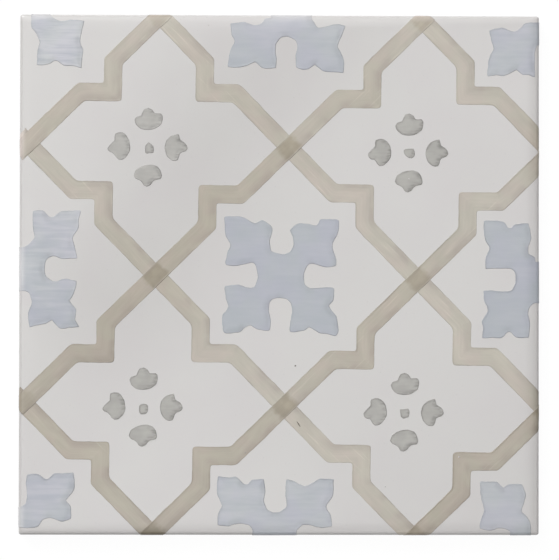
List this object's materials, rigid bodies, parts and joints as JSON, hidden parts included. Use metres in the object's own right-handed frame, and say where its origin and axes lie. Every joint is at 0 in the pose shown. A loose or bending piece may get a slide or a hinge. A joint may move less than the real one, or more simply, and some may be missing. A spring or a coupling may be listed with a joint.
{
  "type": "decorative tile",
  "caption": "Square glazed wall tile with a cushioned face edge, painted strapwork and cross ornament, and a waffle back that keys it into adhesive.",
  "frame": {"origin": "middle of the back, in the plane that its ribs and border lie in", "axes": "+Z out of the glazed face, +X to the right and +Y up as the ornament is seen in the picture"},
  "size_m": [0.2, 0.2, 0.01],
  "materials": {
    "glaze": "smooth satin-gloss glaze, off-white with painted ornament in muted taupe, blue-grey and warm grey"
  },
  "bodies": {
    "root": {"tile": "glaze"}
  },
  "joints": []
}
